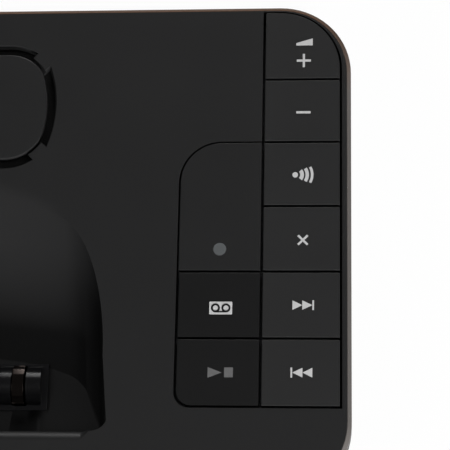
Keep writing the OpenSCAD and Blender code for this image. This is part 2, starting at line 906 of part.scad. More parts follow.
// Frame under the keys that guides the stems and holds the board.
module key_guide() {
  hole = stem + 2*stem_clear;
  right = body_width/2 - rim_width - skirt_wall - 0.4;
  back = body_depth/2 - rim_width - skirt_wall - 0.4;
  front = field_front - 2.6;
  left = field_left - 2.6;
  color([0.30, 0.30, 0.32]) deck() difference() {
    union() {
      corner_block(
        column_line - 3.2, right, front, back, -guide_low, -guide_top,
        corner_radius - rim_width - skirt_wall - 0.4, 1, 1
      );
      block(left, column_line, front, window_back + 2.8, -guide_low, -guide_top);
      block(left, field_left - 0.3, front, window_back + 2.8, -guide_top - 0.1, -plate_thick);
      block(left, field_right - 8, front, field_front - 0.3, -guide_top - 0.1, -plate_thick);
      block(left, column_line - 0.6, window_back + 0.3, window_back + 2.8, -guide_top - 0.1, -plate_thick);
      block(column_line - 3.2, column_line - 0.6, window_back + 0.3, back - 2, -guide_top - 0.1, -plate_thick);
      for (p = board_posts) rod(p.x, p.y, -board_depth, -guide_top, 6.4);
      block(board_posts[0].x, left + 1, board_posts[0].y - 2, board_posts[0].y + 2, -guide_low, -guide_top);
      block(board_posts[1].x, left + 1, board_posts[1].y - 2, board_posts[1].y + 2, -guide_low, -guide_top);
      block(board_posts[2].x - 2, board_posts[2].x + 2, window_back, board_posts[2].y, -guide_low, -guide_top);
      block(board_posts[3].x - 2, board_posts[3].x + 2, board_posts[3].y, front + 1, -guide_low, -guide_top);
    }
    at_switches() block(-hole/2, hole/2, -hole/2, hole/2, -20, 0);
    for (p = board_posts) {
      rod(p.x, p.y, -20, 0, board_screw_d + 0.3);
      rod(p.x, p.y, -guide_top, 0, 6.8);
    }
    rod(left_mid, pipe_y, -20, 0, pipe_d + 0.3);
    for (p = case_posts) rod(p.x, p.y, -20, 0, post_d + 1);
  }
}

// Fixed window behind which the indicator shows.
module indicator_window() {
  inset = window_gap;
  color([0.08, 0.08, 0.10]) deck() difference() {
    union() {
      corner_block(
        field_left + inset, column_line - key_gap/2, row_line(4) + key_gap/2, window_back - inset,
        -plate_thick, 0, window_radius - inset, -1, 1
      );
      for (x = [left_mid - 5, left_mid + 5], y = [row_line(4) + 3, row_line(3) + 5])
        rod(x, y, -guide_top, -plate_thick + 0.1, 2.4);
    }
    rod(left_mid, pipe_y, -20, 1, pipe_d + 0.1);
  }
}

// Clear rod that carries the light of the indicator up to the window.
module light_pipe() {
  color([0.55, 0.57, 0.58]) deck() {
    rod(left_mid, pipe_y, -board_depth + 2.3, 0, pipe_d);
    rod(left_mid, pipe_y, -guide_top, -plate_thick, pipe_d + 1.4);
  }
}

// Electronics
// Circuit board, screwed up under the key guide.
module main_board() {
  color([0.10, 0.32, 0.18]) deck() difference() {
    intersection() {
      block(board_left, board_right, board_front, board_back, -board_low, -board_depth);
      slab(
        body_width - 2*wall - 2*board_clear, body_depth - 2*wall - 2*board_clear,
        corner_radius - wall - board_clear, -30, 0
      );
    }
    for (p = case_posts) rod(p.x, p.y, -30, 0, post_d + 3);
    for (p = board_posts) rod(p.x, p.y, -30, 0, board_screw_d + 0.3);
  }
}

// Four screws through board and guide into the cover.
module board_screws() {
  color([0.55, 0.56, 0.58]) deck() for (p = board_posts)
    translate([p.x, p.y, -board_low]) screw(board_screw_d, board_low - 1.2, 3.6, 1.3);
}

// Light-emitting diodes below the indicator and the play key.
module status_leds() {
  color([0.85, 0.85, 0.78]) deck() {
    translate([left_mid, pipe_y, -board_depth]) block(-1.7, 1.7, -1.4, 1.4, 0, 2);
    for (s = [-1, 1]) translate([left_mid + s*5.2, row_mid(6), -board_depth])
      block(-1.4, 1.4, -1.2, 1.2, 0, 1.4);
  }
}

// Tinned can over the radio part.
module radio_shield() {
  color([0.70, 0.71, 0.72]) deck() translate([left_mid - 1, row_line(5), -board_low]) difference() {
    block(-shield_half_x, shield_half_x, -shield_half_y, shield_half_y, -shield_tall, 0);
    block(
      shield_sheet - shield_half_x, shield_half_x - shield_sheet, shield_sheet - shield_half_y,
      shield_half_y - shield_sheet, shield_sheet - shield_tall, 1
    );
  }
}

// Packaged circuits on the lower face of the board.
module chips() {
  color([0.06, 0.06, 0.07]) deck() for (c = chip_list)
    translate([c[0], c[1], -board_low]) block(-c[2]/2, c[2]/2, -c[3]/2, c[3]/2, -c[4], 0);
}

// Two supply capacitors.
module capacitors() {
  color([0.16, 0.18, 0.30]) deck() for (c = capacitor_list)
    rod(c[0], c[1], -board_low - c[3], -board_low, c[2]);
}

// Two folded sheet antennas at the edges of the board.
module antennas() {
  color([0.78, 0.72, 0.50]) deck() {
    for (x = [board_left + 1, board_right - 1.5]) translate([x, row_line(4), -board_low]) {
      block(0, antenna_sheet, -antenna_half, antenna_half, -antenna_drop, antenna_strip - antenna_drop);
      block(0, antenna_sheet, antenna_half - 3, antenna_half - 1.5, antenna_strip - antenna_drop - 0.5, 0);
    }
  }
}

// Modular socket for the telephone line, open to the rear.
module line_socket() {
  z1 = -board_low;
  color([0.12, 0.12, 0.13]) deck() difference() {
    translate([line_x, socket_back, z1]) block(-line_width/2, line_width/2, -line_long, 0, -line_tall, 0);
    translate([line_x, socket_back, z1]) block(-jack_half, jack_half, -jack_deep, 1, -9.2, -2.2);
    translate([line_x, socket_back, z1]) block(-3.2, 3.2, -9, 1, -10.8, -9);
  }
}

// Four spring wires inside the line socket.
module line_contacts() {
  pitch = 1.27;
  color([0.83, 0.70, 0.35]) deck() for (i = [-1.5, -0.5, 0.5, 1.5])
    translate([line_x + i*pitch, socket_back - jack_deep, -board_low - 2.5]) rotate([-90, 0, 0])
      cylinder(d = 0.5, h = 8.4);
}

// Coaxial power socket, open to the rear.
module power_socket() {
  color([0.10, 0.10, 0.11]) deck() translate([power_x, socket_back, -board_low]) difference() {
    block(-power_width/2, power_width/2, -power_long, 0, -power_tall, 0);
    translate([0, 1, -power_tall/2]) rotate([90, 0, 0]) cylinder(d = power_bore, h = 10.5);
  }
}

// Centre pin of the power socket.
module power_pin() {
  color([0.80, 0.80, 0.78]) deck() translate([power_x, socket_back - 1, -board_low - power_tall/2])
    rotate([90, 0, 0])
    cylinder(d = 2, h = 8.5);
}

// Two-pole plugs of the loudspeaker and contact leads.
module lead_sockets() {
  color([0.88, 0.87, 0.82]) deck() {
    translate([board_left + plug_inset + plug_half_x, speaker_lead_y, -board_depth])
      block(-plug_half_x, plug_half_x, -plug_half_y, plug_half_y, 0, plug_tall);
    translate([board_left + 3.4, contact_lead_y, -board_low])
      block(-plug_half_x, plug_half_x, -plug_half_y, plug_half_y, -plug_tall, 0);
  }
}

// a round lead through the given points, a little thicker at its bends
module lead(points, d) {
  for (i = [0:len(points) - 2]) {
    a = points[i];
    b = points[i + 1];
    v = b - a;
    n = norm(v);
    translate(a) rotate([0, acos(v.z/n), atan2(v.y, v.x)]) cylinder(d = d, h = n);
    if (i > 0) translate(a) sphere(d = 1.12*d);
  }
}

// Two straight leads from the side of the loudspeaker's magnet to the board.
module speaker_leads() {
  z = -board_depth + plug_tall/2;
  color([0.55, 0.10, 0.10]) deck() for (s = [-1, 1]) {
    y = speaker_lead_y + s;
    aside = speaker_back - y - lead_d/2;
    x = speaker_x + sqrt((magnet_d/2)^2 - aside^2) + magnet_clear;
    lead([[x, y, z], [board_left + plug_inset, y, z]], lead_d);
  }
}

// Two leads from the charging contacts to the board.
module contact_leads() {
  start = -contact_foot - contact_travel - lead_clear;
  z = -max(cradle_floor + cradle_wall, board_low + plug_tall) - lead_d - lead_clear;
  color([0.12, 0.12, 0.40]) deck() for (s = [-1, 1])
    lead([
      [cradle_x + s*contact_spacing/2, contact_y + lead_apart*s, start],
      [cradle_x + s*contact_spacing/2, contact_y + lead_apart*s, z],
      [board_left + 3.4, contact_lead_y + lead_apart*s, z],
      [board_left + 3.4, contact_lead_y + lead_apart*s, -board_low - plug_tall]
    ], lead_d);
}

top_cover();
rim_trim();
housing();
rubber_feet();
case_screws();
contact_block();
charge_contact_left();
charge_contact_right();
speaker_plate();
speaker_gasket();
speaker_frame();
speaker_cone();
speaker_magnet();
speaker_clamp();
speaker_screws();
key_volume_up();
key_volume_down();
key_page();
key_delete();
key_next();
key_previous();
key_answer();
key_play();
plunger_volume_up();
plunger_volume_down();
plunger_page();
plunger_delete();
plunger_next();
plunger_previous();
plunger_answer();
plunger_play();
key_switches();
key_guide();
indicator_window();
light_pipe();
main_board();
board_screws();
status_leds();
radio_shield();
chips();
capacitors();
antennas();
line_socket();
line_contacts();
power_socket();
power_pin();
lead_sockets();
speaker_leads();
contact_leads();
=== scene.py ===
import bmesh
import bpy
import json
import math
from mathutils import Matrix, Vector

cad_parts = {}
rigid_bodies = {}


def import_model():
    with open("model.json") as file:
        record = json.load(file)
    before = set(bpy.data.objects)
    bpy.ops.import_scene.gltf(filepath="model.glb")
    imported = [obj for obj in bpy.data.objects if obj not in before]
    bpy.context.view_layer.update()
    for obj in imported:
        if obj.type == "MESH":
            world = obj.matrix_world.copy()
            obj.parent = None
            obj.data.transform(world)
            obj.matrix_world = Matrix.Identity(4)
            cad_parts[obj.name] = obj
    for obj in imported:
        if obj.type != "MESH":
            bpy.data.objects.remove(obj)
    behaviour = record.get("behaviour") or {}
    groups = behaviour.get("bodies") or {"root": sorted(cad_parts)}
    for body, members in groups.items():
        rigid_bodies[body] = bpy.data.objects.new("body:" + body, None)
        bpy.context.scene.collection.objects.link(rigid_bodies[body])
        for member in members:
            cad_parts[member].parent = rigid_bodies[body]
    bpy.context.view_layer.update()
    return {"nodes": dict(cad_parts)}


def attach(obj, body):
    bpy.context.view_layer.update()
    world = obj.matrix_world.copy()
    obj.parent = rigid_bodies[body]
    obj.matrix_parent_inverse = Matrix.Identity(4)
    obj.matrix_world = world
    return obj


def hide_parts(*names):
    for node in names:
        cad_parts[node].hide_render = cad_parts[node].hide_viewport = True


for stray in list(bpy.data.objects):
    bpy.data.objects.remove(stray)
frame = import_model()
nodes = frame["nodes"]

# Camera
# It looks down on the right-hand part of the base from in front of it, through a long lens,
# so the edges of the deck stay almost parallel.
camera_place = (0.0568, -0.118525, 0.314048)
camera_turn = (22.97, 4.082, 1.606)
lens = bpy.data.cameras.new("overhead_camera")
lens.lens = 128
lens.sensor_width = 36
lens.clip_start = 0.01
overhead_camera = bpy.data.objects.new("overhead_camera", lens)
overhead_camera.location = camera_place
overhead_camera.rotation_euler = [math.radians(turn) for turn in camera_turn]
bpy.context.scene.collection.objects.link(overhead_camera)
bpy.context.scene.camera = overhead_camera

# Lower housing
# An open tub of black moulded plastic; its sides and front lean in a little, and its floor is level.
# Its outside has the fine matt texture of a spark-eroded mould.
housing_black = (0.0135, 0.0135, 0.014)
housing_edge = 0.0003
sheen_spread = 0.05
same_point = 1e-6
same_plane = math.radians(0.5)


def vary_tone(tree, pattern, colour, mottle):
    """Lets a pattern lighten and darken a colour."""
    tone = tree.nodes.new("ShaderNodeMix")
    tone.data_type = "RGBA"
    tone.inputs["A"].default_value = [c * (1 - mottle) for c in colour] + [1]
    tone.inputs["B"].default_value = [min(1, c * (1 + mottle)) for c in colour] + [1]
    tree.links.new(pattern.outputs["Fac"], tone.inputs["Factor"])
    tree.links.new(tone.outputs["Result"], tree.nodes["Principled BSDF"].inputs["Base Color"])


def vary_roughness(tree, pattern, low, high):
    """Lets a pattern move the roughness between two values."""
    sheen = tree.nodes.new("ShaderNodeMapRange")
    sheen.inputs["To Min"].default_value = low
    sheen.inputs["To Max"].default_value = high
    tree.links.new(pattern.outputs["Fac"], sheen.inputs["Value"])
    tree.links.new(sheen.outputs["Result"], tree.nodes["Principled BSDF"].inputs["Roughness"])


def moulded(name, colour, roughness, grain=0.0003, depth=0.00001, gloss=0.3, mottle=0.06):
    """Moulded plastic: fine grain in the surface and a faint unevenness of tone and sheen."""
    made = bpy.data.materials.new(name)
    made.use_nodes = True
    tree = made.node_tree
    shader = tree.nodes["Principled BSDF"]
    shader.inputs["Specular IOR Level"].default_value = gloss
    place = tree.nodes.new("ShaderNodeTexCoord")
    cloud = tree.nodes.new("ShaderNodeTexNoise")
    cloud.inputs["Scale"].default_value = 90
    cloud.inputs["Detail"].default_value = 3
    tree.links.new(place.outputs["Object"], cloud.inputs["Vector"])
    vary_tone(tree, cloud, colour, mottle)
    vary_roughness(tree, cloud, roughness - sheen_spread, roughness + sheen_spread)
    fine = tree.nodes.new("ShaderNodeTexNoise")
    fine.inputs["Scale"].default_value = 1 / grain
    fine.inputs["Detail"].default_value = 2
    tree.links.new(place.outputs["Object"], fine.inputs["Vector"])
    bump = tree.nodes.new("ShaderNodeBump")
    bump.inputs["Strength"].default_value = 0.5
    bump.inputs["Distance"].default_value = depth
    tree.links.new(fine.outputs["Fac"], bump.inputs["Height"])
    tree.links.new(bump.outputs["Normal"], shader.inputs["Normal"])
    return made


def merged_copy(node):
    """The triangles of a CAD piece joined into whole faces."""
    shell = bmesh.new()
    shell.from_mesh(nodes[node].data)
    bmesh.ops.remove_doubles(shell, verts=shell.verts, dist=same_point)
    bmesh.ops.dissolve_limit(shell, angle_limit=same_plane, verts=shell.verts, edges=shell.edges)
    return shell


def round_edges(shell, edges, width, segments=3):
    """Rounds the given edges by width."""
    bmesh.ops.bevel(
        shell, geom=edges, offset=width, offset_type="OFFSET", affect="EDGES",
        segments=segments, profile=0.5, material=-1, clamp_overlap=True,
    )


def finished_piece(name, shell, material, body, stands_for=None, crease=40):
    """Turns a bmesh into a piece that rides on a body and may stand for a CAD node."""
    mesh = bpy.data.meshes.new(name)
    shell.to_mesh(mesh)
    shell.free()
    mesh.shade_smooth()
    mesh.set_sharp_from_angle(angle=math.radians(crease))
    mesh.materials.append(material)
    piece = bpy.data.objects.new(name, mesh)
    bpy.context.scene.collection.objects.link(piece)
    weighted = piece.modifiers.new("flat_faces_stay_flat", "WEIGHTED_NORMAL")
    weighted.keep_sharp = True
    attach(piece, body)
    if stands_for:
        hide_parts(stands_for)


def rounded_piece(name, node, width, material, body, segments=3, corner=35):
    """A CAD piece with all its corners of more than the given angle rounded."""
    shell = merged_copy(node)
    corners = [e for e in shell.edges if e.calc_face_angle() > math.radians(corner)]
    round_edges(shell, corners, width, segments)
    finished_piece(name, shell, material, body, node)


housing_plastic = moulded("housing_plastic", housing_black, roughness=0.55)
rounded_piece("lower_housing", "housing", housing_edge, housing_plastic, "base")

# Rubber feet
# Four round pads of black rubber under the floor, which keep the base from sliding.
# They are glued into shallow pockets of the housing.
foot_black = (0.02, 0.02, 0.02)
foot_edge = 0.0004
foot_rubber = moulded("foot_rubber", foot_black, roughness=0.8, grain=0.0005, depth=0.00003)
rounded_piece("foot_pads", "rubber_feet", foot_edge, foot_rubber, "base")

# Circuit board and what is soldered to it
# A glass-fibre board under green solder resist, hung below the keys, with a tinned radio can,
# black packaged circuits, two sleeved capacitors, folded brass antennas and white plugs.
resist_green = (0.012, 0.09, 0.035)
rub_spread = 0.2


def metal(name, colour, roughness, along=(1, 1, 1), mottle=0.1):
    """Bare metal with fine drawn marks; along stretches the marks."""
    made = bpy.data.materials.new(name)
    made.use_nodes = True
    tree = made.node_tree
    tree.nodes["Principled BSDF"].inputs["Metallic"].default_value = 1
    place = tree.nodes.new("ShaderNodeTexCoord")
    stretch = tree.nodes.new("ShaderNodeMapping")
    stretch.inputs["Scale"].default_value = along
    tree.links.new(place.outputs["Object"], stretch.inputs["Vector"])
    marks = tree.nodes.new("ShaderNodeTexNoise")
    marks.inputs["Scale"].default_value = 1500
    marks.inputs["Detail"].default_value = 4
    tree.links.new(stretch.outputs["Vector"], marks.inputs["Vector"])
    vary_tone(tree, marks, colour, mottle)
    vary_roughness(tree, marks, roughness * (1 - rub_spread), roughness * (1 + rub_spread))
    return made


def dress(node, material):
    """Gives a CAD piece its finish."""
    nodes[node].data.materials.clear()
    nodes[node].data.materials.append(material)


resist = moulded("solder_resist", resist_green, roughness=0.35, grain=0.002, depth=0.00003, mottle=0.25)
dress("main_board", resist)
dress("radio_shield", metal("tinned_sheet", (0.65, 0.66, 0.67), roughness=0.35))
dress("antennas", metal("brass_sheet", (0.75, 0.62, 0.32), roughness=0.3))
dress("chips", moulded("circuit_black", (0.012, 0.012, 0.012), roughness=0.6))
dress("capacitors", moulded("capacitor_sleeve", (0.02, 0.025, 0.08), roughness=0.3))
dress("lead_sockets", moulded("plug_white", (0.75, 0.74, 0.68), roughness=0.45))
dress("status_leds", moulded("diode_resin", (0.8, 0.8, 0.7), roughness=0.3))

# Sockets on the rear wall
# A modular socket for the telephone line with four sprung wires, and a coaxial power socket with its pin.
# Both are black mouldings soldered under the back edge of the board.
socket_black = (0.014, 0.014, 0.015)
socket_edge = 0.0002
socket_plastic = moulded("socket_plastic", socket_black, roughness=0.4)
rounded_piece("telephone_socket", "line_socket", socket_edge, socket_plastic, "base")
rounded_piece("supply_socket", "power_socket", socket_edge, socket_plastic, "base")
dress("line_contacts", metal("gilt_wire", (0.83, 0.66, 0.3), roughness=0.2))
dress("power_pin", metal("plated_pin", (0.75, 0.75, 0.73), roughness=0.2))

# Leads
# Thin stranded wire in soft insulation, red from the loudspeaker and blue from the charging contacts.
# Each pair ends in a white plug on the board.
dress("speaker_leads", moulded("red_insulation", (0.35, 0.02, 0.02), roughness=0.45))
dress("contact_leads", moulded("blue_insulation", (0.02, 0.03, 0.2), roughness=0.45))

# Loudspeaker
# A small driver in a pressed steel basket, held by a clamp ring against a felt ring with a black cloth.
# Its cover plate, staked to four lands of the deck, leaves a dark slot along each side.
plate_black = (0.0114, 0.0114, 0.0116)
plate_edge = 0.00012
plate_corner = 25


def fibrous(name, colour, fibre):
    """Felt, cloth or paper: short tangled fibres."""
    return moulded(name, colour, roughness=0.9, grain=fibre, depth=fibre / 4, gloss=0.2, mottle=0.3)


dress("speaker_frame", metal("pressed_steel", (0.45, 0.46, 0.48), roughness=0.4))
dress("speaker_magnet", metal("magnet_steel", (0.3, 0.3, 0.32), roughness=0.5))
dress("speaker_cone", fibrous("cone_paper", (0.05, 0.045, 0.04), fibre=0.0008))
dress("speaker_gasket", fibrous("black_felt", (0.011, 0.011, 0.011), fibre=0.0005))
dress("speaker_clamp", moulded("clamp_plastic", (0.03, 0.03, 0.03), roughness=0.55))
plate_plastic = moulded("plate_plastic", plate_black, roughness=0.5)
rounded_piece(
    "speaker_cover_plate", "speaker_plate", plate_edge, plate_plastic, "base",
    corner=plate_corner,
)

# Top cover
# The black deck, moulded in one with its skirt and the cradle for the handset.
# The back of the cradle runs up into the deck in a soft roll; its sides end in a crisp edge.
cover_black = (0.0112, 0.0112, 0.0114)
slope = math.radians(7)
deck_middle = Vector((0, -0.0022473, 0.031))
deck = Matrix.Translation(deck_middle) @ Matrix.Rotation(slope, 4, "X")
cradle_x = -0.0156
cradle_top = 0.01035
cradle_long = 0.04695
cradle_lean = math.radians(25)
rest_radius = 0.06428
cut_slack = 1e-7
place_slack = 1e-5
# the roll: its depth, how far it reaches aside and back, and the cuts that let the faces bend
roll_depth = 0.00122
roll_full = 0.0150
roll_end = 0.0186
roll_front = 0.001
roll_back = 0.0145
roll_aside = 0.024
roll_floor = -0.008
roll_lowest = -0.004
roll_tilt = 0.5
roll_rows = 28
row_pitch = 0.0005
roll_strips = 27
strip_pitch = 0.0015
# the rounded lip along the front wall, which fades out towards the corners
front_wall = cradle_top - cradle_long
lip_radius = 0.0019
lip_fade = 0.0022
lip_tilt = 0.02
lip_cuts = 8
# the small round on the edges of the deck, and the fillet at the foot of the backrest
edge_round = 0.00015
edge_from = math.radians(22)
foot_fillet = 0.0012
foot_crease = math.radians(15)
foot_low = -0.016
foot_high = -0.011
foot_front = -0.030
foot_back = -0.018
foot_aside = 0.0215


def eased(share):
    """Goes from 0 to 1 with a soft start and a soft end."""
    return share * share * (3 - 2 * share)


def near_roll(face):
    """Whether a face of the deck or the backrest lies where the cradle runs up into the deck."""
    front = min(v.co.y for v in face.verts)
    back = max(v.co.y for v in face.verts)
    aside = min(abs(v.co.x - cradle_x) for v in face.verts)
    in_reach = front < roll_back and back > roll_front and aside < roll_aside
    return in_reach and face.normal.z > roll_tilt and face.calc_center_median().z > roll_floor


def on_lip(face):
    """Whether a face belongs to the rounded lip along the front of the cradle."""
    slack = place_slack
    in_depth = all(front_wall - lip_radius - slack < v.co.y < front_wall + slack for v in face.verts)
    in_height = all(-lip_radius - slack < v.co.z < slack for v in face.verts)
    return in_depth and in_height and min(face.normal.y, face.normal.z) > lip_tilt


def corners_of(faces):
    """The corner points of some faces, each one once."""
    return list(dict.fromkeys(v for f in faces for v in f.verts))


def cut_across(shell, faces, point, direction):
    """Cuts some faces along a plane, so that they can bend there."""
    edges = list(dict.fromkeys(e for f in faces for e in f.edges))
    bmesh.ops.bisect_plane(
        shell, geom=corners_of(faces) + edges + faces, dist=cut_slack, plane_co=point, plane_no=direction,
    )


cover = merged_copy("top_cover")
bmesh.ops.transform(cover, matrix=deck.inverted(), verts=cover.verts)
for row in range(roll_rows):
    faces = [f for f in cover.faces if near_roll(f)]
    cut_across(cover, faces, (0, roll_front + row_pitch * row, 0), (0, 1, 0))
for strip in range(roll_strips):
    faces = [f for f in cover.faces if near_roll(f)]
    across = strip_pitch * (strip - roll_strips // 2)
    cut_across(cover, faces, (cradle_x + across, 0, 0), (1, 0, 0))
cover.normal_update()
for vert in corners_of([f for f in cover.faces if near_roll(f)]):
    aside = abs(vert.co.x - cradle_x)
    if aside > roll_end or vert.co.z < roll_lowest or vert.co.y > roll_back + row_pitch / 5:
        continue
    soft = roll_depth * eased(min(1, (roll_end - aside) / (roll_end - roll_full)))
    set_back = rest_radius - math.sqrt(rest_radius**2 - aside**2)
    rest = set_back / math.cos(cradle_lean) - (cradle_top - vert.co.y) * math.tan(cradle_lean)
    if abs(rest) < soft:
        vert.co.z = min(0, rest) - (soft - abs(rest)) ** 2 / (4 * soft)
cover.normal_update()
lip_corners = corners_of([f for f in cover.faces if on_lip(f)])
lip_end = max(abs(v.co.x - cradle_x) for v in lip_corners)
for side in (-1, 1):
    for step in range(1, lip_cuts + 1):
        faces = [f for f in cover.faces if on_lip(f)]
        across = side * (lip_end - lip_fade * step / lip_cuts)
        cut_across(cover, faces, (cradle_x + across, 0, 0), (1, 0, 0))
for vert in corners_of([f for f in cover.faces if on_lip(f)]):
    share = min(1, (lip_end - abs(vert.co.x - cradle_x)) / lip_fade)
    kept = max(edge_round / lip_radius, eased(share))
    vert.co.y = front_wall + (vert.co.y - front_wall) * kept
    vert.co.z *= kept
cover.normal_update()
deck_edges = [
    e for e in cover.edges
    if all(abs(v.co.z) < 2 * place_slack for v in e.verts) and e.calc_face_angle_signed() > edge_from
]
round_edges(cover, deck_edges, edge_round)
foot_creases = [
    e for e in cover.edges
    if e.calc_face_angle_signed() < -foot_crease
    and all(foot_low < v.co.z < foot_high and foot_front < v.co.y < foot_back for v in e.verts)
    and all(abs(v.co.x - cradle_x) < foot_aside for v in e.verts)
]
round_edges(cover, foot_creases, foot_fillet, segments=4)
bmesh.ops.transform(cover, matrix=deck, verts=cover.verts)
cover_plastic = moulded("cover_plastic", cover_black, roughness=0.5)
finished_piece("deck_cover", cover, cover_plastic, "base", "top_cover", crease=32)

# Rim
# A satin grey band pressed over the skirt of the cover; its narrow bevel is the light line round the deck.
# Along the back the bevel carries a painted reflection in a warmer brown tone.
rim_grey = (0.077, 0.071, 0.067)
painted_reflection_brown = (0.105, 0.060, 0.038)
rim_edge = 0.0001
reflection_from = 0.030
reflection_to = 0.046
bevel_low = -0.0009
bevel_high = -0.0006
rim_paint = moulded("rim_paint", rim_grey, roughness=0.5, gloss=0.05)
tree = rim_paint.node_tree
level = tree.nodes.new("ShaderNodeMapping")
level.inputs["Rotation"].default_value = (-slope, 0, 0)
level.inputs["Location"].default_value = deck.inverted().translation
tree.links.new(tree.nodes["Texture Coordinate"].outputs["Object"], level.inputs["Vector"])
axes = tree.nodes.new("ShaderNodeSeparateXYZ")
tree.links.new(level.outputs["Vector"], axes.inputs["Vector"])
# Painted reflection: the bevel along the back is tinted warm brown, fading in from the middle of the deck.
at_back = tree.nodes.new("ShaderNodeMapRange")
at_back.inputs["From Min"].default_value = reflection_from
at_back.inputs["From Max"].default_value = reflection_to
tree.links.new(axes.outputs["Y"], at_back.inputs["Value"])
on_bevel = tree.nodes.new("ShaderNodeMapRange")
on_bevel.inputs["From Min"].default_value = bevel_low
on_bevel.inputs["From Max"].default_value = bevel_high
tree.links.new(axes.outputs["Z"], on_bevel.inputs["Value"])
reflection_share = tree.nodes.new("ShaderNodeMath")
reflection_share.operation = "MULTIPLY"
tree.links.new(at_back.outputs["Result"], reflection_share.inputs[0])
tree.links.new(on_bevel.outputs["Result"], reflection_share.inputs[1])
tint = tree.nodes.new("ShaderNodeMix")
tint.data_type = "RGBA"
tint.inputs["B"].default_value = (*painted_reflection_brown, 1)
tree.links.new(reflection_share.outputs["Value"], tint.inputs["Factor"])
tree.links.new(tree.nodes["Mix"].outputs["Result"], tint.inputs["A"])
tree.links.new(tint.outputs["Result"], tree.nodes["Principled BSDF"].inputs["Base Color"])
rounded_piece("rim_band", "rim_trim", rim_edge, rim_paint, "base")

# Charging contacts
# A glossy black block with ribs at the foot of the cradle, pegged through its wall,
# and between the ribs two bowed strips of plated spring metal.
rib_black = (0.010, 0.010, 0.0115)
rib_edge = 0.0005
strip_metal = (0.085, 0.070, 0.064)
strip_edge = 0.00008
contact_black = moulded("contact_black", rib_black, roughness=0.2, grain=0.001, depth=0.000001, gloss=0.7)
rounded_piece("rib_block", "contact_block", rib_edge, contact_black, "base", segments=4)
contact_plating = metal("contact_plating", strip_metal, roughness=0.1, along=(0.2, 1, 1))
for side in ("left", "right"):
    rounded_piece(
        f"spring_contact_{side}", f"charge_contact_{side}", strip_edge, contact_plating,
        f"contact_{side}_body",
    )

# Key guide, switches and screws
# A grey frame screwed under the deck guides the key stems and carries the board;
# each stem ends over the ivory button of a short-stroke switch.
key_names = ("volume_up", "volume_down", "page", "delete", "next", "previous", "answer", "play")
dress("key_guide", moulded("guide_plastic", (0.08, 0.08, 0.085), roughness=0.55))
dress("key_switches", moulded("switch_plastic", (0.03, 0.03, 0.03), roughness=0.5))
ivory = moulded("switch_button", (0.55, 0.5, 0.38), roughness=0.45)
for key in key_names:
    dress(f"plunger_{key}", ivory)
zinc = metal("zinc_plating", (0.55, 0.56, 0.58), roughness=0.3)
for screws in ("case_screws", "board_screws", "speaker_screws"):
    dress(screws, zinc)

# Indicator window
# A fixed black pane let into the deck beside the keys.
# A frosted rod comes up through it to the face and shows as a grey dot.
pane_black = (0.0111, 0.0111, 0.0113)
pane_edge = 0.00012
window_plastic = moulded("window_plastic", pane_black, roughness=0.48)
rounded_piece("indicator_pane", "indicator_window", pane_edge, window_plastic, "base")
dress("light_pipe", moulded("frosted_rod", (0.073, 0.078, 0.080), roughness=0.5, mottle=0.04))

# Keys
# Eight flat caps of black plastic with slightly rounded edges; the two of the left column are darker.
# Each cap sinks into its opening in the deck when it is pressed.
cap_black = (0.0146, 0.0146, 0.0148)
dark_cap_black = (0.0045, 0.0045, 0.0046)
cap_edge = 0.00012
key_plastic = moulded("key_plastic", cap_black, roughness=0.5)
dark_key_plastic = moulded("dark_key_plastic", dark_cap_black, roughness=0.5)
for key in key_names:
    left_column = key in ("answer", "play")
    rounded_piece(
        f"cap_{key}", f"key_{key}", cap_edge, dark_key_plastic if left_column else key_plastic,
        f"key_{key}_body",
    )

# Signs on the keys
# Generic signs printed on the caps in a thin layer of white ink, grey on the play key.
# Each is drawn flat in millimetres, about its own middle, and then set on its cap.
mm = 0.001
ink = 0.00003
full_turn = 2 * math.pi
white_ink = moulded("white_ink", (0.435, 0.435, 0.435), roughness=0.5, mottle=0.03)
grey_ink = moulded("grey_ink", (0.101, 0.101, 0.101), roughness=0.5, mottle=0.03)


def printed(name, flat, key, material, x, y, lift=0.0):
    """Gives a flat sign its thickness and its place on a key."""
    bmesh.ops.scale(flat, vec=(mm, mm, mm), verts=flat.verts)
    layer = bmesh.ops.extrude_face_region(flat, geom=list(flat.faces))
    raised = [g for g in layer["geom"] if isinstance(g, bmesh.types.BMVert)]
    bmesh.ops.translate(flat, vec=(0, 0, ink), verts=raised)
    bmesh.ops.translate(flat, vec=(x * mm, y * mm, lift), verts=flat.verts)
    bmesh.ops.recalc_face_normals(flat, faces=flat.faces)
    bmesh.ops.transform(flat, matrix=deck, verts=flat.verts)
    finished_piece(name, flat, material, f"key_{key}_body")


def bar(x, y, wide, tall):
    """A flat rectangle about the given middle."""
    flat = bmesh.new()
    made = bmesh.ops.create_grid(flat, x_segments=1, y_segments=1, size=0.5)
    bmesh.ops.scale(flat, vec=(wide, tall, 1), verts=made["verts"])
    bmesh.ops.translate(flat, vec=(x, y, 0), verts=made["verts"])
    return flat


def add_shape(flat, corners):
    """Adds one flat face with these corners."""
    flat.faces.new([flat.verts.new((x, y, 0)) for x, y in corners])


def crossed_bars(reach, width):
    """A plus sign drawn out of its middle square."""
    flat = bar(0, 0, wide=width, tall=width)
    for edge in list(flat.edges):
        middle = (edge.verts[0].co + edge.verts[1].co) / 2
        arm = bmesh.ops.extrude_edge_only(flat, edges=[edge])
        ends = [g for g in arm["geom"] if isinstance(g, bmesh.types.BMVert)]
        bmesh.ops.translate(flat, vec=middle.normalized() * (reach - width / 2), verts=ends)
    return flat


def swept_ring(flat, middle, inner, outer, start, angle, steps):
    """Adds a part of a ring, made by spinning a short line about the ring's middle."""
    aim = Vector((math.cos(start), math.sin(start), 0))
    line = [flat.verts.new(Vector(middle) + aim * r) for r in (inner, outer)]
    edge = flat.edges.new(line)
    bmesh.ops.spin(
        flat, geom=line + [edge], cent=middle, axis=(0, 0, 1), angle=angle, steps=steps,
        use_merge=angle >= full_turn,
    )


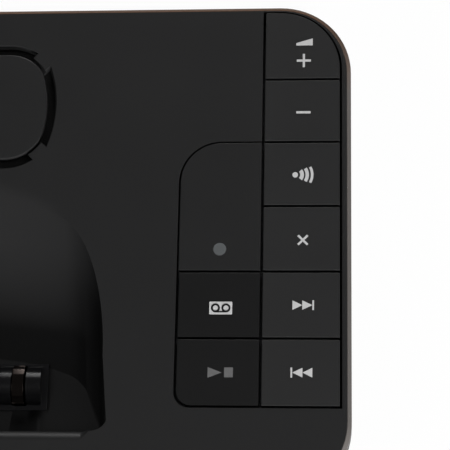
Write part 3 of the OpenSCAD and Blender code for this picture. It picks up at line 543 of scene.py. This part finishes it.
def skip_sign(aim):
    """Two triangles against a bar, pointing right for an aim of 1 and left for one of -1."""
    half_tall = 0.92
    flat = bar(aim * 1.87, 0, wide=0.32, tall=1.9)
    for base, tip in ((-2.05, -0.2), (-0.2, 1.7)):
        add_shape(flat, [(aim * base, -aim * half_tall), (aim * tip, 0), (aim * base, aim * half_tall)])
    return flat


wedge = bmesh.new()
add_shape(wedge, [(-1.63, -0.73), (1.63, -0.73), (1.63, 0.73), (-1.63, -0.25)])
printed("sign_volume", wedge, "volume_up", white_ink, x=48.35, y=40.92)
plus = crossed_bars(reach=1.40, width=0.45)
printed("sign_plus", plus, "volume_up", white_ink, x=48.24, y=36.97)
minus = bar(0, 0, wide=2.8, tall=0.46)
printed("sign_minus", minus, "volume_down", white_ink, x=48.21, y=26.14)

paging = bmesh.new()
bmesh.ops.create_circle(paging, cap_ends=True, segments=32, radius=0.54)
for inner, outer, half in ((0.97, 1.70, 0.70), (2.00, 2.66, 0.58), (3.03, 3.53, 0.50)):
    swept_ring(paging, (0, 0, 0), inner, outer, start=-half, angle=2 * half, steps=14)
printed("sign_paging", paging, "page", white_ink, x=46.70, y=13.31)

cross = crossed_bars(reach=1.30, width=0.40)
eighth_turn = Matrix.Rotation(math.radians(45), 3, "Z")
bmesh.ops.rotate(cross, cent=(0, 0, 0), matrix=eighth_turn, verts=cross.verts)
printed("sign_cross", cross, "delete", white_ink, x=48.24, y=0.23)

printed("sign_next", skip_sign(1), "next", white_ink, x=48.41, y=-12.53)
printed("sign_previous", skip_sign(-1), "previous", white_ink, x=48.12, y=-25.45)

tape = bar(0, 0, wide=4.35, tall=2.46)
bmesh.ops.bevel(
    tape, geom=list(tape.verts), offset=0.12, offset_type="OFFSET", affect="VERTICES", segments=4,
    profile=0.5, material=-1,
)
printed("sign_tape", tape, "answer", white_ink, x=32.77, y=-13.12)
reels = bar(0, -0.73, wide=2.0, tall=0.26)
for reel_x in (-1.0, 1.0):
    swept_ring(reels, (reel_x, 0, 0), inner=0.50, outer=0.86, start=0, angle=full_turn, steps=32)
printed("sign_tape_reels", reels, "answer", dark_key_plastic, x=32.77, y=-13.12, lift=ink)

play = bar(1.56, 0.03, wide=1.65, tall=1.86)
add_shape(play, [(-2.38, -1.02), (0.25, 0), (-2.38, 1.02)])
printed("sign_play", play, "play", grey_ink, x=32.91, y=-25.50)

# Studio
# A pale floor that runs out of sight, a low soft box in front to the right, a weaker one low behind,
# three dim ones higher up behind and at the sides, and a faint even surround.
floor_half = 3
floor_white = (0.85, 0.85, 0.85, 1)
floor_glow = 0.96
surround_strength = 0.05
lamp_target = Vector((0, 0, 0.03))


def soft_box(name, place, size, power):
    """A square soft lamp aimed at the object."""
    box = bpy.data.lights.new(name, "AREA")
    box.size = size
    box.energy = power
    lamp = bpy.data.objects.new(name, box)
    lamp.location = place
    lamp.rotation_euler = (lamp_target - Vector(place)).to_track_quat("-Z", "Y").to_euler()
    bpy.context.scene.collection.objects.link(lamp)
    return lamp


floor_shell = bmesh.new()
bmesh.ops.create_grid(floor_shell, x_segments=1, y_segments=1, size=floor_half)
floor_mesh = bpy.data.meshes.new("studio_floor")
floor_shell.to_mesh(floor_mesh)
floor_shell.free()
studio_floor = bpy.data.objects.new("studio_floor", floor_mesh)
bpy.context.scene.collection.objects.link(studio_floor)
paper = bpy.data.materials.new("floor_paper")
paper.use_nodes = True
tree = paper.node_tree
surface = tree.nodes["Principled BSDF"]
surface.inputs["Base Color"].default_value = floor_white
surface.inputs["Roughness"].default_value = 0.9
glow = tree.nodes.new("ShaderNodeEmission")
glow.inputs["Strength"].default_value = 1
path = tree.nodes.new("ShaderNodeLightPath")
seen = tree.nodes.new("ShaderNodeMath")
seen.operation = "MAXIMUM"
tree.links.new(path.outputs["Is Camera Ray"], seen.inputs[0])
tree.links.new(path.outputs["Is Glossy Ray"], seen.inputs[1])
seen_all = tree.nodes.new("ShaderNodeMath")
seen_all.operation = "MAXIMUM"
tree.links.new(seen.outputs["Value"], seen_all.inputs[0])
tree.links.new(path.outputs["Is Transmission Ray"], seen_all.inputs[1])
glow_share = tree.nodes.new("ShaderNodeMath")
glow_share.operation = "MULTIPLY"
glow_share.inputs[1].default_value = floor_glow
tree.links.new(seen_all.outputs["Value"], glow_share.inputs[0])
blend = tree.nodes.new("ShaderNodeMixShader")
tree.links.new(glow_share.outputs["Value"], blend.inputs["Fac"])
tree.links.new(surface.outputs["BSDF"], blend.inputs[1])
tree.links.new(glow.outputs["Emission"], blend.inputs[2])
tree.links.new(blend.outputs["Shader"], tree.nodes["Material Output"].inputs["Surface"])
floor_mesh.materials.append(paper)

surround = bpy.data.worlds.new("pale_surround")
bpy.context.scene.world = surround
surround.use_nodes = True
background = surround.node_tree.nodes["Background"]
background.inputs["Color"].default_value = (1, 1, 1, 1)
background.inputs["Strength"].default_value = surround_strength

# The low front lamp isn't mirrored in the deck, which it would bleach when seen from behind.
front_box = soft_box("front_box", (0.337, -0.878, 0.157), size=0.3, power=29)
front_box.visible_glossy = False
soft_box("back_box", (0, 0.918, 0.276), size=0.4, power=5.3)
soft_box("high_back_box", (0, 0.778, 0.575), size=0.4, power=1.4)
soft_box("right_box", (0.41, -0.24, 0.85), size=0.4, power=1.2)
soft_box("left_box", (-0.52, -0.19, 0.81), size=0.4, power=0.6)

bpy.context.scene.view_settings.view_transform = "Standard"
